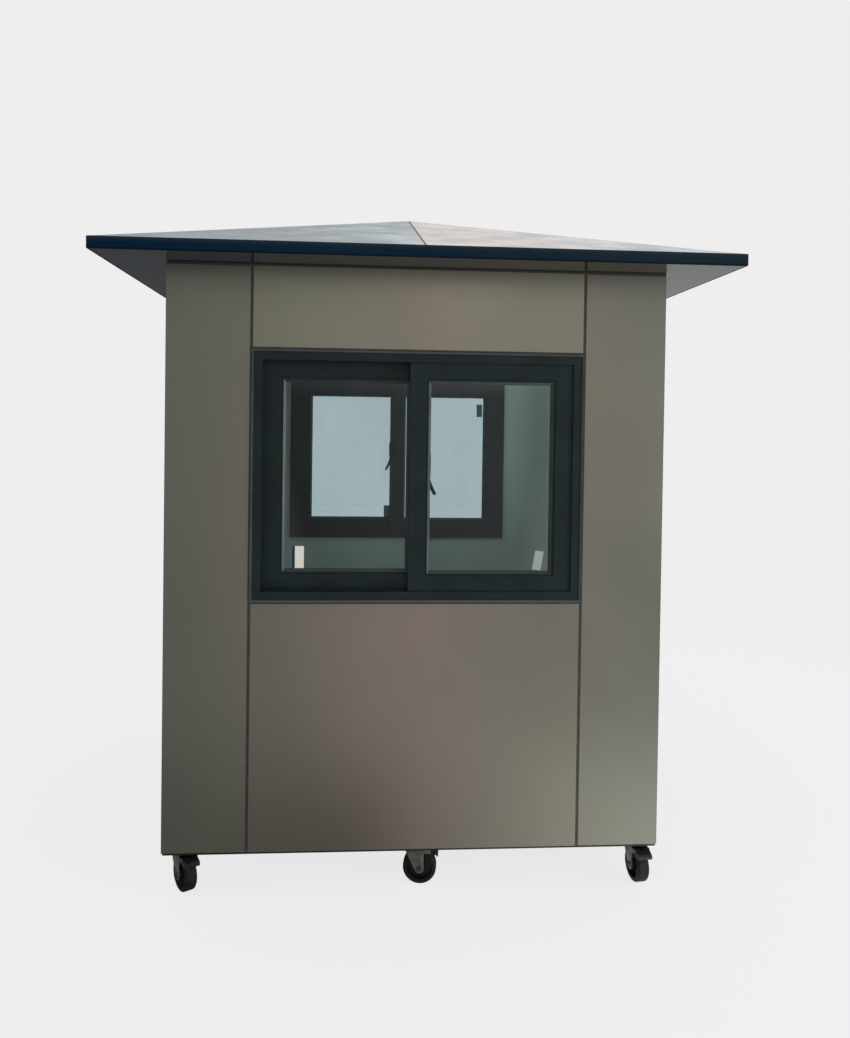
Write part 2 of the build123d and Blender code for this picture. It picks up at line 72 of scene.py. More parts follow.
def grain(tree, scale, detail=3.0, stretch=(1.0, 1.0, 1.0), roughness=0.5):
    """Noise over the piece's own place in the booth; a small stretch draws it out along that axis."""
    place = add(tree, "TexCoord").outputs["Object"]
    scaled = add(tree, "Mapping", {"Vector": place, "Scale": stretch}).outputs[0]
    sockets = {"Vector": scaled, "Scale": scale, "Detail": detail, "Roughness": roughness}
    return add(tree, "TexNoise", sockets).outputs[0]


def paint_tone(red, green, blue):
    """A paint's colour from its values of 0 to 255 on a colour card."""
    shares = [value / 255 for value in (red, green, blue)]
    return tuple(s / 12.92 if s < 0.04045 else ((s + 0.055) / 1.055) ** 2.4 for s in shares) + (1.0,)


def finish(name, colour, roughness, metallic=0.0, specular=0.5):
    """A new material and its shader, before its pattern is added."""
    made = bpy.data.materials.new(name)
    made.use_nodes = True
    shader = made.node_tree.nodes["Principled BSDF"]
    shader.inputs["Base Color"].default_value = colour
    shader.inputs["Roughness"].default_value = roughness
    shader.inputs["Metallic"].default_value = metallic
    shader.inputs["Specular IOR Level"].default_value = specular
    return made, made.node_tree, shader


def emboss(tree, shader, pattern, depth):
    """Raises the surface by a pattern, depth in metres."""
    raised = add(tree, "Bump", {"Height": pattern, "Distance": depth, "Strength": 1.0})
    feed(tree, shader.inputs["Normal"], raised.outputs[0])


def coat(piece, material):
    """Gives a piece its one material."""
    piece.data.materials.clear()
    piece.data.materials.append(material)


def black_enamel():
    made, tree, shader = finish("black_enamel", paint_tone(28, 29, 30), 0.42)
    spray = grain(tree, 9.0, 5.0)
    dust = grain(tree, 60.0, 4.0, roughness=0.7)
    dusty = mix(tree, spread(tree, dust, 0.0, 0.35, 0.5, 0.8), paint_tone(24, 25, 26), paint_tone(74, 70, 62))
    enamel = mix(tree, spread(tree, spray, 0.0, 0.6), paint_tone(20, 21, 22), dusty)
    feed(tree, shader.inputs["Base Color"], enamel)
    feed(tree, shader.inputs["Roughness"], spread(tree, spray, 0.3, 0.6))
    emboss(tree, shader, grain(tree, 180.0, 2.0), 0.0003)
    return made


chassis_finish = black_enamel()
coat(nodes["chassis"], chassis_finish)


# Floor deck. One board of cement-bonded fibre on the chassis, covered with a speckled vinyl sheet.


def speckled_vinyl():
    made, tree, shader = finish("speckled_vinyl", paint_tone(120, 118, 112), 0.45)
    specks = add(tree, "TexVoronoi", {"Scale": 420.0, "Vector": add(tree, "TexCoord").outputs["Object"]})
    speckled = mix(tree, spread(tree, specks.outputs["Color"], 0.0, 1.0, 0.2, 0.8),
                   paint_tone(106, 105, 99), paint_tone(130, 128, 121))
    wear = grain(tree, 3.0, 4.0)
    worn = mix(tree, spread(tree, wear, 0.0, 0.35), speckled, paint_tone(88, 84, 78))
    feed(tree, shader.inputs["Base Color"], worn)
    feed(tree, shader.inputs["Roughness"], spread(tree, wear, 0.35, 0.6))
    emboss(tree, shader, grain(tree, 350.0, 1.0), 0.0002)
    return made


coat(nodes["floor_deck"], speckled_vinyl())


# Casters. Black enamelled top plates and pedals, pressed forks in grey electro-coat, and rubber tyres on
# nylon cores. Each top plate is held to the steel flats by four hexagon bolts with washers.

caster_reach_x = 0.8545
caster_reach_y = 0.8345
caster_trail = 0.030
axle_height = 0.0625
leg_face = 0.031
axle_head = 0.006
plate_underside = 0.148
plate_bolt_x = 0.040
plate_bolt_y = 0.031
plate_bolt = {"radius": 0.0072, "depth": 0.0052, "washer_radius": 0.0085, "washer_depth": 0.0014}
axle_nut = {"radius": 0.0088, "depth": 0.0030, "washer_radius": 0.0096, "washer_depth": 0.0008}
core_radius = 0.0465
head_chamfer = 0.93
caster_turns = {
    "front_left": (-1, -1, -56), "front_middle": (0, -1, -8), "front_right": (1, -1, -82),
    "rear_left": (-1, 1, -40), "rear_middle": (0, 1, -24), "rear_right": (1, 1, -52),
}


def pressed_steel(name, dark, light, chip, metallic):
    """Coated sheet steel: uneven tone, a few chips through to the primer, and a fine orange peel."""
    made, tree, shader = finish(name, dark, 0.36, metallic=metallic, specular=0.4)
    chips = grain(tree, 130.0, 5.0, roughness=0.65)
    shade = mix(tree, spread(tree, grain(tree, 25.0, 4.0), 0.0, 1.0), dark, light)
    chipped = mix(tree, spread(tree, chips, 0.0, 1.0, 0.7, 0.73), shade, chip)
    feed(tree, shader.inputs["Base Color"], chipped)
    feed(tree, shader.inputs["Roughness"], spread(tree, grain(tree, 40.0, 3.0), 0.28, 0.5))
    emboss(tree, shader, grain(tree, 420.0, 2.0), 0.0002)
    return made


def wheel_finish(name, centre, axle):
    """Tyre outside, nylon core inside, told apart by the distance from the axle."""
    made, tree, shader = finish(name, paint_tone(18, 18, 19), 0.6, specular=0.3)
    place = add(tree, "TexCoord").outputs["Object"]
    from_axle = add(tree, "VectorMath", {0: place, 1: centre}, operation="SUBTRACT").outputs[0]
    along = add(tree, "VectorMath", {0: from_axle, 1: axle}, operation="CROSS_PRODUCT").outputs[0]
    reach = add(tree, "VectorMath", {0: along}, operation="LENGTH").outputs["Value"]
    is_tyre = spread(tree, reach, 0.0, 1.0, core_radius - 0.0003, core_radius + 0.0003)
    scuffs = grain(tree, 55.0, 5.0, roughness=0.6)
    dust = spread(tree, scuffs, 0.0, 0.3, 0.5, 0.78)
    tyre = mix(tree, dust, paint_tone(14, 14, 16), paint_tone(60, 58, 54))
    mottle = spread(tree, grain(tree, 30.0), 0.0, 1.0)
    core = mix(tree, mottle, paint_tone(14, 16, 19), paint_tone(28, 31, 35))
    feed(tree, shader.inputs["Base Color"], mix(tree, is_tyre, core, tyre))
    feed(tree, shader.inputs["Roughness"], spread(tree, is_tyre, 0.36, 0.68, 0.0, 1.0))
    emboss(tree, shader, grain(tree, 300.0, 3.0), 0.00025)
    return made


def hexagon_bolt(mesh, at, radius, depth, washer_radius, washer_depth, turn=0.0):
    """A bolt head with its washer, hanging down from a point; gives the vertices of both."""
    lowest = at[2] - washer_depth
    washer = bmesh.ops.create_cone(
        mesh, cap_ends=True, segments=24, radius1=washer_radius, radius2=washer_radius, depth=washer_depth,
        matrix=Matrix.Translation((at[0], at[1], at[2] - washer_depth / 2)))
    head = bmesh.ops.create_cone(
        mesh, cap_ends=True, segments=6, radius1=radius * head_chamfer, radius2=radius, depth=depth,
        matrix=Matrix.Translation((at[0], at[1], lowest - depth / 2)) @ Matrix.Rotation(turn, 4, "Z"))
    return washer["verts"] + head["verts"]


def piece_from(mesh, name, material, body="cabin"):
    """Makes a finished piece from a bmesh and fixes it to a body of the booth."""
    data = bpy.data.meshes.new(name)
    bmesh.ops.recalc_face_normals(mesh, faces=mesh.faces)
    mesh.to_mesh(data)
    mesh.free()
    made = bpy.data.objects.new(name, data)
    bpy.context.scene.collection.objects.link(made)
    data.materials.append(material)
    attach(made, body)
    return made


def dull_zinc():
    """Dull zinc plating on the bolts and nuts, patchy and dark with handling."""
    made, tree, shader = finish("dull_zinc", paint_tone(88, 88, 84), 0.45, metallic=0.9)
    patches = grain(tree, 240.0, 4.0)
    feed(tree, shader.inputs["Base Color"],
         mix(tree, spread(tree, patches, 0.0, 1.0), paint_tone(62, 62, 60), paint_tone(104, 103, 98)))
    feed(tree, shader.inputs["Roughness"], spread(tree, patches, 0.36, 0.6))
    return made


enamel_finish = pressed_steel("caster_enamel", paint_tone(14, 15, 18), paint_tone(26, 28, 31),
                              paint_tone(84, 82, 78), 0.0)
fork_finish = pressed_steel("fork_coat", paint_tone(98, 102, 93), paint_tone(138, 141, 129),
                            paint_tone(140, 138, 130), 0.85)
zinc_finish = dull_zinc()
coat(nodes["caster_plates"], enamel_finish)
bolt_mesh = bmesh.new()
for x_side, y_side, caster_turn in caster_turns.values():
    for bolt_x in (-plate_bolt_x, plate_bolt_x):
        for bolt_y in (-plate_bolt_y, plate_bolt_y):
            along_x = x_side * caster_reach_x + bolt_x
            along_y = y_side * caster_reach_y + bolt_y
            # Each head stopped at an angle of its own when it was tightened
            stopped_at = caster_turn + 40 * bolt_x
            hexagon_bolt(bolt_mesh, (along_x, along_y, plate_underside), turn=stopped_at, **plate_bolt)
plate_bolts = piece_from(bolt_mesh, "plate_bolts", zinc_finish)

for caster, (x_side, y_side, caster_turn) in caster_turns.items():
    kingpin = Vector((x_side * caster_reach_x, y_side * caster_reach_y, 0))
    trail_way = Vector((cos(radians(caster_turn)), sin(radians(caster_turn)), 0))
    axle_way = Vector((-trail_way.y, trail_way.x, 0))
    axle_centre = kingpin + caster_trail * trail_way + Vector((0, 0, axle_height))
    coat(nodes[f"{caster}_fork"], fork_finish)
    coat(nodes[f"{caster}_pedal"], enamel_finish)
    coat(nodes[f"{caster}_wheel"], wheel_finish(f"{caster}_tyre_and_core", axle_centre, axle_way))
    nut_mesh = bmesh.new()
    for side in (-1, 1):
        nut = hexagon_bolt(nut_mesh, (0, 0, 0), **axle_nut)
        outwards = Vector((0, 0, -1)).rotation_difference(side * axle_way).to_matrix().to_4x4()
        axle_end = axle_centre + side * (leg_face + axle_head) * axle_way
        bmesh.ops.transform(nut_mesh, matrix=Matrix.Translation(axle_end) @ outwards, verts=nut)
    axle_nuts = piece_from(nut_mesh, f"{caster}_axle_nuts", zinc_finish, f"{caster}_fork")


# Walls. Insulated sandwich panels behind the cladding, lined inside with a pale grey-green sheet that
# has shallow rolled lines. The ceiling is the same sheet.


def lining_sheet():
    made, tree, shader = finish("lining_sheet", paint_tone(204, 217, 206), 0.5)
    blotch = grain(tree, 1.6, 4.0)
    feed(tree, shader.inputs["Base Color"],
         mix(tree, spread(tree, blotch, 0.0, 1.0), paint_tone(196, 210, 199), paint_tone(210, 222, 212)))
    feed(tree, shader.inputs["Roughness"], spread(tree, grain(tree, 20.0), 0.42, 0.58))
    emboss(tree, shader, grain(tree, 90.0, 3.0), 0.0003)
    return made


lining_finish = lining_sheet()
for wall in ("front_wall", "rear_wall", "left_wall", "right_wall", "ceiling"):
    coat(nodes[wall], lining_finish)


# Cladding. Aluminium composite sheet, 4 mm, in a champagne-grey metallic lacquer: four folded corner
# sheets, panels over and under the windows, and narrower ones round the door.


def rounded(piece, width, segments=2):
    """Rounds a CAD piece's edges a little, as a fold or an extrusion has them."""
    weld = piece.modifiers.new("joined", "WELD")
    weld.merge_threshold = 0.00002
    bevel = piece.modifiers.new("rounded", "BEVEL")
    bevel.width = width
    bevel.segments = segments
    bevel.limit_method = "ANGLE"
    bevel.angle_limit = radians(40)
    bevel.harden_normals = True


def calc(tree, operation, *values):
    """One step of arithmetic on shader values."""
    return add(tree, "Math", dict(enumerate(values)), operation=operation).outputs[0]


def parts_of_place(tree):
    """X, Y and Z of a point of the booth, in metres from the middle of the floor it stands on."""
    return add(tree, "SeparateXYZ", {"Vector": add(tree, "TexCoord").outputs["Object"]}).outputs


def metallic_lacquer(name, colour, warm, cool, warm_reach):
    """A satin metallic finish, warmest within warm_reach of the middle, with a fine upright roller grain."""
    made, tree, shader = finish(name, colour, 0.4, metallic=0.85, specular=0.3)
    off_middle = calc(tree, "ABSOLUTE", parts_of_place(tree)["X"])
    wander = calc(tree, "ADD", off_middle, spread(tree, grain(tree, 0.9, 2.0), -0.15, 0.15))
    clouds = mix(tree, spread(tree, wander, 0.0, 1.0, warm_reach, warm_reach + 0.4), warm, cool)
    roller = grain(tree, 260.0, 3.0, stretch=(1.0, 1.0, 0.02))
    lines = mix(tree, spread(tree, roller, 0.0, 0.22), clouds, colour)
    flakes = spread(tree, grain(tree, 1500.0, 1.0), 0.0, 0.14)
    feed(tree, shader.inputs["Base Color"], mix(tree, flakes, lines, paint_tone(196, 188, 172)))
    feed(tree, shader.inputs["Roughness"], spread(tree, grain(tree, 2.2, 4.0), 0.36, 0.44))
    sheet_waves = grain(tree, 1.3, 1.0)
    emboss(tree, shader, sheet_waves, 0.002)
    return made


corner_lacquer = metallic_lacquer("corner_lacquer", paint_tone(127, 126, 116), paint_tone(130, 126, 115),
                                  paint_tone(122, 124, 114), 0.5)
panel_lacquer = metallic_lacquer("panel_lacquer", paint_tone(139, 134, 121), paint_tone(143, 135, 122),
                                 paint_tone(135, 135, 119), 0.0)
lower_lacquer = metallic_lacquer("lower_lacquer", paint_tone(134, 126, 117), paint_tone(140, 127, 119),
                                 paint_tone(126, 124, 113), 0.05)
coat(nodes["corner_panels"], corner_lacquer)
coat(nodes["upper_panels"], panel_lacquer)
coat(nodes["lower_panels"], lower_lacquer)
coat(nodes["door_side_panels"], panel_lacquer)
rounded(nodes["corner_panels"], 0.0016, 3)


# Sealant. Dark silicone run into every joint of the cladding and round the windows, smoothed with a
# finger, so that its face wavers a little and has a soft shine.


def dark_silicone():
    made, tree, shader = finish("dark_silicone", paint_tone(38, 37, 34), 0.46)
    ripple = grain(tree, 34.0, 3.0)
    feed(tree, shader.inputs["Base Color"],
         mix(tree, spread(tree, ripple, 0.0, 1.0), paint_tone(38, 37, 34), paint_tone(54, 52, 48)))
    feed(tree, shader.inputs["Roughness"], spread(tree, grain(tree, 70.0), 0.38, 0.6))
    emboss(tree, shader, ripple, 0.0022)
    return made


coat(nodes["panel_sealant"], dark_silicone())


# Windows. Sliding windows of powder-coated aluminium sections: a frame with three fins, and two sashes
# in two tracks, glazed with 5 mm float glass in sloped satin beads. Crescent latches hold them shut.

half_side = 0.9145
wall_turns = {"front": 0, "left": -90, "rear": 180}
pane_x0, pane_x1 = 0.035, 0.496
pane_z0, pane_z1 = 1.178, 1.883
window_half = 0.607
window_z0, window_z1 = 1.074, 1.989
outer_sash_face, inner_sash_face = 0.002, 0.040
glass_depth = 0.010
sash_thickness = 0.030
glass_thickness = 0.005
bead_width = 0.0095
bead_rebate = 0.001
bead_toe = 0.0006
lip_face = -0.008
lip_width = 0.0065
lip_slope = 0.0024
lip_toe = 0.0002


def powder_coat(name, colour, roughness=0.42):
    """Powder coating: a fine orange peel, and a tone that is almost even."""
    made, tree, shader = finish(name, colour, roughness, specular=0.16)
    patch = grain(tree, 7.0, 3.0)
    darker = tuple(0.88 * c for c in colour[:3]) + (1.0,)
    lighter = tuple(1.12 * c for c in colour[:3]) + (1.0,)
    feed(tree, shader.inputs["Base Color"], mix(tree, spread(tree, patch, 0.0, 1.0), darker, lighter))
    peel = grain(tree, 60.0)
    feed(tree, shader.inputs["Roughness"], spread(tree, peel, roughness - 0.05, roughness + 0.08))
    emboss(tree, shader, grain(tree, 260.0, 2.0), 0.00005)
    return made


def set_on_wall(mesh, side, verts=None):
    """Turns vertices from a wall's own frame (x along it, y inwards from its face) to its place."""
    place = Matrix.Rotation(radians(wall_turns[side]), 4, "Z") @ Matrix.Translation((0, -half_side, 0))
    bmesh.ops.transform(mesh, matrix=place, verts=verts if verts is not None else mesh.verts)


def wedge_ring(mesh, x0, x1, z0, z1, low_y, high_y, width, thickness=0.0012):
    """A four-sided bead whose face slopes from its outer edge at high_y to its inner edge at low_y."""
    grid = bmesh.ops.create_grid(mesh, x_segments=1, y_segments=1, size=0.5)["verts"]
    bmesh.ops.rotate(mesh, matrix=Matrix.Rotation(radians(90), 3, "X"), verts=grid)
    bmesh.ops.scale(mesh, vec=(x1 - x0, 1, z1 - z0), verts=grid)
    bmesh.ops.translate(mesh, vec=((x0 + x1) / 2, high_y, (z0 + z1) / 2), verts=grid)
    face = [f for f in mesh.faces if all(v in grid for v in f.verts)]
    ring = bmesh.ops.inset_region(mesh, faces=face, thickness=width, use_boundary=True, use_even_offset=True)
    middle = face[0]
    for v in middle.verts:
        v.co.y = low_y
    slopes = list(ring["faces"])
    bmesh.ops.delete(mesh, geom=[middle], context="FACES_ONLY")
    bmesh.ops.solidify(mesh, geom=slopes, thickness=thickness)


frame_coat = powder_coat("charcoal_powder_coat", paint_tone(24, 35, 37))
for side in wall_turns:
    for part in ("window_frame", "sashes"):
        coat(nodes[f"{side}_{part}"], frame_coat)
        rounded(nodes[f"{side}_{part}"], 0.0009)
coat(nodes["window_latches"], powder_coat("latch_coat", paint_tone(16, 22, 26), 0.3))


def float_glass():
    """Clear glass with a slight green-blue body; lamps pass through it to light the inside."""
    made, tree, shader = finish("float_glass", paint_tone(213, 226, 229), 0.0, specular=0.4)
    shader.inputs["Transmission Weight"].default_value = 1.0
    shader.inputs["IOR"].default_value = 1.5
    clear = add(tree, "BsdfTransparent", {"Color": paint_tone(232, 242, 242)})
    choice = add(tree, "MixShader", {0: add(tree, "LightPath").outputs["Is Shadow Ray"]})
    feed(tree, choice.inputs[1], shader.outputs[0])
    feed(tree, choice.inputs[2], clear.outputs[0])
    smear = grain(tree, 5.0, 4.0, stretch=(1.0, 1.0, 0.4))
    feed(tree, shader.inputs["Base Color"],
         mix(tree, spread(tree, smear, 0.0, 1.0), paint_tone(214, 227, 230), paint_tone(209, 222, 225)))
    feed(tree, tree.nodes["Material Output"].inputs["Surface"], choice.outputs[0])
    return made


glass_finish = float_glass()
coat(nodes["window_panes"], glass_finish)


def satin_trim(name, colour, metallic=0.6):
    """Satin aluminium trim, a little duller where it was wiped."""
    made, tree, shader = finish(name, colour, 0.36, metallic=metallic)
    wipe = grain(tree, 14.0, 4.0)
    duller = tuple(0.8 * c for c in colour[:3]) + (1.0,)
    feed(tree, shader.inputs["Base Color"], mix(tree, spread(tree, wipe, 0.0, 1.0), duller, colour))
    feed(tree, shader.inputs["Roughness"], spread(tree, wipe, 0.3, 0.44))
    return made


bead_mesh = bmesh.new()
for side in wall_turns:
    start = len(bead_mesh.verts)
    for face, mirror in ((outer_sash_face, 1), (inner_sash_face, -1)):
        x0, x1 = sorted((mirror * (pane_x0 - bead_rebate), mirror * (pane_x1 + bead_rebate)))
        z0, z1 = pane_z0 - bead_rebate, pane_z1 + bead_rebate
        back = face + sash_thickness
        outer_toe = face + glass_depth - bead_toe
        inner_toe = back - glass_depth - glass_thickness + bead_toe
        wedge_ring(bead_mesh, x0, x1, z0, z1, outer_toe, face + bead_rebate, bead_width)
        wedge_ring(bead_mesh, x0, x1, z0, z1, inner_toe, back - bead_rebate, bead_width)
    bead_mesh.verts.ensure_lookup_table()
    set_on_wall(bead_mesh, side, bead_mesh.verts[start:])
beads = piece_from(bead_mesh, "glazing_beads", satin_trim("bead_trim", paint_tone(64, 72, 70), 0.5))

lip_mesh = bmesh.new()
for side in wall_turns:
    start = len(lip_mesh.verts)
    wedge_ring(lip_mesh, -window_half, window_half, window_z0, window_z1, lip_face - lip_toe,
               lip_face - lip_slope, lip_width, thickness=0.0018)
    lip_mesh.verts.ensure_lookup_table()
    set_on_wall(lip_mesh, side, lip_mesh.verts[start:])
lips = piece_from(lip_mesh, "frame_lips", satin_trim("satin_trim", paint_tone(78, 82, 84)))


# Pane labels. Small blank paper labels, left on the panes by the glazier, each a little askew and with
# one corner that has begun to lift.

label_thickness = 0.00015
label_lift = 0.0006
label_bed = 0.0002
lift_start, lift_length = 0.55, 0.45
pane_labels = {
    "front_label": ("front", -0.4331, 1.2295, 0.0330, 0.0813, 0.0, inner_sash_face + glass_depth),
    "front_label_edge": ("front", -0.4551, 1.2295, 0.0090, 0.0813, 0.0, inner_sash_face + glass_depth),
    "front_small_label": ("front", 0.4492, 1.2252, 0.0324, 0.0715, 10.0, outer_sash_face + glass_depth),
    "rear_upper_label": ("rear", -0.4661, 1.8035, 0.0322, 0.0711, 1.0, inner_sash_face + glass_depth),
    "rear_lower_label": ("rear", 0.0560, 1.2151, 0.0368, 0.0724, 1.0, outer_sash_face + glass_depth),
}


def label_paper(name, tone, shade):
    made, tree, shader = finish(name, tone, 0.62, specular=0.25)
    fibre = grain(tree, 900.0, 3.0)
    feed(tree, shader.inputs["Base Color"], mix(tree, spread(tree, fibre, 0.0, 1.0), tone, shade))
    emboss(tree, shader, fibre, 0.00004)
    return made


white_paper = label_paper("white_paper", paint_tone(224, 219, 208), paint_tone(210, 204, 194))
grey_paper = label_paper("grey_paper", paint_tone(150, 160, 160), paint_tone(134, 144, 146))
blue_paper = label_paper("blue_paper", paint_tone(16, 36, 74), paint_tone(22, 44, 84))
label_papers = {"front_label": white_paper, "front_label_edge": blue_paper}
for label, (side, label_x, label_z, label_wide, label_high, askew, face) in pane_labels.items():
    label_mesh = bmesh.new()
    bmesh.ops.create_grid(label_mesh, x_segments=5, y_segments=8, size=0.5)
    bmesh.ops.scale(label_mesh, vec=(label_wide, label_high, 1), verts=label_mesh.verts)
    for v in label_mesh.verts:
        to_corner = v.co.x / label_wide + v.co.y / label_high
        v.co.z = label_lift * max(0.0, (to_corner - lift_start) / lift_length) ** 2
    bmesh.ops.solidify(label_mesh, geom=label_mesh.faces, thickness=label_thickness)
    stand_up = Matrix.Rotation(radians(askew), 4, "Y") @ Matrix.Rotation(radians(90), 4, "X")
    on_glass = Matrix.Translation((label_x, face - label_bed, label_z))
    bmesh.ops.transform(label_mesh, matrix=on_glass @ stand_up, verts=label_mesh.verts)
    set_on_wall(label_mesh, side)
    paper = piece_from(label_mesh, label, label_papers.get(label, grey_paper))


# Door. A powder-coated aluminium leaf with a glazed light over a flat infill, in a frame of the same
# section, hung on three butt hinges and closed by lever handles.

coat(nodes["door_frame"], frame_coat)
coat(nodes["door_leaf"], powder_coat("door_powder_coat", paint_tone(28, 37, 40)))
for door_part in ("door_frame", "door_leaf"):
    rounded(nodes[door_part], 0.0009)
coat(nodes["door_pane"], glass_finish)


def brushed_steel():
    made, tree, shader = finish("brushed_steel", paint_tone(176, 176, 172), 0.3, metallic=1.0)
    brush = grain(tree, 500.0, 2.0, stretch=(1.0, 0.05, 1.0))
    feed(tree, shader.inputs["Base Color"],
         mix(tree, spread(tree, brush, 0.0, 1.0), paint_tone(160, 160, 156), paint_tone(190, 189, 184)))
    feed(tree, shader.inputs["Roughness"], spread(tree, brush, 0.24, 0.4))
    return made


coat(nodes["door_hardware"], brushed_steel())


# Soffit and ceiling edge. Composite sheet under the eaves in a dark high-gloss grey, so smooth that the wall
# and the joints mirror in it.
# Its colour also holds a painted reflection: dark blue towards the left, warm grey towards the right.


def gloss_sheet():
    made, tree, shader = finish("gloss_sheet", paint_tone(30, 33, 36), 0.08, specular=0.2)
    cloud = grain(tree, 2.5, 3.0)
    # Painted reflection: the colour runs from dark blue on the left to warm grey on the right, as the
    # surroundings mirrored on each side would.
    painted_reflection_across = calc(tree, "ADD", parts_of_place(tree)["X"], spread(tree, cloud, -0.3, 0.3))
    feed(tree, shader.inputs["Base Color"],
         mix(tree, spread(tree, painted_reflection_across, 0.0, 1.0, -1.0, 1.0), paint_tone(18, 34, 46), paint_tone(42, 38, 32)))
    feed(tree, shader.inputs["Roughness"], spread(tree, cloud, 0.05, 0.11))
    emboss(tree, shader, grain(tree, 2.0, 1.0), 0.0006)
    return made


coat(nodes["soffit"], gloss_sheet())


# Fascia. A folded edge trim of dark navy coated steel round the eaves, greyer towards its upper fold, with
# painted light that makes it lighter to the right and painted shade along the lower fold.

eave_bottom = 2.294
eave_top = 2.335


def navy_coat():
    """Navy coating, greyer towards the top fold, painted lighter to the right as light, and near black along
    the bottom as painted shade.
    """
    made, tree, shader = finish("navy_coat", paint_tone(8, 33, 50), 0.5, specular=0.05)
    place = parts_of_place(tree)
    # Painted light: the navy turns lighter and greyer towards the right, as if lit from that side.
    painted_light_across = calc(tree, "ADD", place["X"], spread(tree, grain(tree, 5.0, 3.0), -0.3, 0.3))
    navy = mix(tree, spread(tree, painted_light_across, 0.0, 1.0, -0.8, 0.8), paint_tone(0, 27, 50), paint_tone(17, 35, 45))
    rise = place["Z"]
    greyer_upwards = spread(tree, rise, 0.0, 0.75, eave_bottom + 0.024, eave_top - 0.002)
    # Painted shade: a near-black band along the bottom fold, where shade falls under it.
    painted_bottom_shade = spread(tree, rise, 0.85, 0.0, eave_bottom, eave_bottom + 0.009)
    upper = mix(tree, greyer_upwards, navy, paint_tone(34, 44, 50))
    feed(tree, shader.inputs["Base Color"], mix(tree, painted_bottom_shade, upper, paint_tone(4, 10, 16)))
    feed(tree, shader.inputs["Roughness"], spread(tree, grain(tree, 12.0), 0.42, 0.6))
    emboss(tree, shader, grain(tree, 30.0, 2.0), 0.0003)
    return made


coat(nodes["fascia"], navy_coat())
rounded(nodes["fascia"], 0.0012)


# Roof. Hip and middle rafters of square tube carry eight coated sheets, two to each slope, whose
# joints are closed with a ragged bead of brown-grey caulk.


def roof_coat():
    """Pale grey coated sheet; the two halves of the roof differ in tone, most of all on the front slope."""
    made, tree, shader = finish("roof_coat", paint_tone(186, 188, 190), 0.28)
    place = parts_of_place(tree)
    right = calc(tree, "GREATER_THAN", place["X"], 0.0)
    cooler = spread(tree, place["X"], 0.0, 1.0, 0.2, 0.8)
    right_tone = mix(tree, cooler, paint_tone(206, 190, 180), paint_tone(172, 176, 192))
    halves = mix(tree, right, paint_tone(130, 149, 160), right_tone)
    ahead = calc(tree, "MULTIPLY", place["Y"], -1.0)
    front_slope = calc(tree, "GREATER_THAN", ahead, calc(tree, "ABSOLUTE", place["X"]))
    even = mix(tree, 0.65, halves, paint_tone(170, 174, 177))
    base = mix(tree, front_slope, even, halves)
    stain = grain(tree, 3.5, 5.0)
    feed(tree, shader.inputs["Base Color"],
         mix(tree, spread(tree, stain, 0.0, 0.28), base, paint_tone(150, 152, 156)))
    feed(tree, shader.inputs["Roughness"], spread(tree, grain(tree, 6.0, 4.0), 0.2, 0.36))
    emboss(tree, shader, grain(tree, 1.8, 1.0), 0.002)
    return made


coat(nodes["roof_sheets"], roof_coat())
coat(nodes["roof_frame"], chassis_finish)


def seam_caulk():
    """Brown-grey caulk, near black along the hips where the weather gets at it."""
    made, tree, shader = finish("roof_caulk", paint_tone(120, 112, 106), 0.6, specular=0.2)
    place = parts_of_place(tree)
    apart = calc(tree, "SUBTRACT", calc(tree, "ABSOLUTE", place["X"]), calc(tree, "ABSOLUTE", place["Y"]))
    off_hip = calc(tree, "ABSOLUTE", apart)
    ripple = grain(tree, 34.0, 3.0)
    pale = mix(tree, spread(tree, ripple, 0.0, 1.0), paint_tone(108, 100, 94), paint_tone(136, 128, 120))
    feed(tree, shader.inputs["Base Color"],
         mix(tree, spread(tree, off_hip, 1.0, 0.0, 0.03, 0.06), pale, paint_tone(46, 44, 45)))
    feed(tree, shader.inputs["Roughness"], spread(tree, grain(tree, 70.0), 0.5, 0.75))
    emboss(tree, shader, ripple, 0.0022)
    return made


coat(nodes["roof_seams"], seam_caulk())


# Studio. A pale floor and backdrop that the camera sees evenly. Behind the camera the backdrop is bright
# on the right and dim on the left; a broad soft lamp stands low on the right, and a weak one lights the
# inside.

page_level = 0.855
floor_side = 60.0
paper_near, paper_far = 1.6, 5.5
even_grey = (0.55, 0.55, 0.55, 1.0)
soft_white = (0.95, 0.95, 0.95, 1.0)
white = (1.0, 1.0, 1.0, 1.0)


def page_seen(tree):
    """Whether a ray looks at the page, straight or through glass, and whether a gloss mirrored it before."""
    paths = add(tree, "LightPath").outputs
    bounced = calc(tree, "GREATER_THAN", paths["Glossy Depth"], 0.5)
    mirrored = calc(tree, "MAXIMUM", paths["Is Glossy Ray"], bounced)
    through = calc(tree, "SUBTRACT", paths["Is Transmission Ray"], bounced)
    seen = calc(tree, "MAXIMUM", paths["Is Camera Ray"], through)
    return seen, mirrored


def opposite_side(tree, ways, shaded):
    """How light the side behind the camera is: dim left, bright right, dark in the middle where shaded."""
    slope = calc(tree, "DIVIDE", ways["X"], calc(tree, "MULTIPLY", ways["Y"], -1.0))
    rise = spread(tree, slope, 0.2, 1.12, -0.26, 0.0)
    gain = spread(tree, slope, 1.0, 1.34, 0.0, 0.22)
    fall = spread(tree, slope, 1.0, 0.08, 0.28, 0.355)
    open_side = calc(tree, "MULTIPLY", calc(tree, "MULTIPLY", rise, gain), fall)
    off_middle = calc(tree, "ABSOLUTE", calc(tree, "SUBTRACT", slope, 0.06))
    dimmed = calc(tree, "MULTIPLY", spread(tree, off_middle, 0.75, 0.0, 0.15, 0.23), shaded)
    return calc(tree, "MULTIPLY", open_side, calc(tree, "SUBTRACT", 1.0, dimmed))


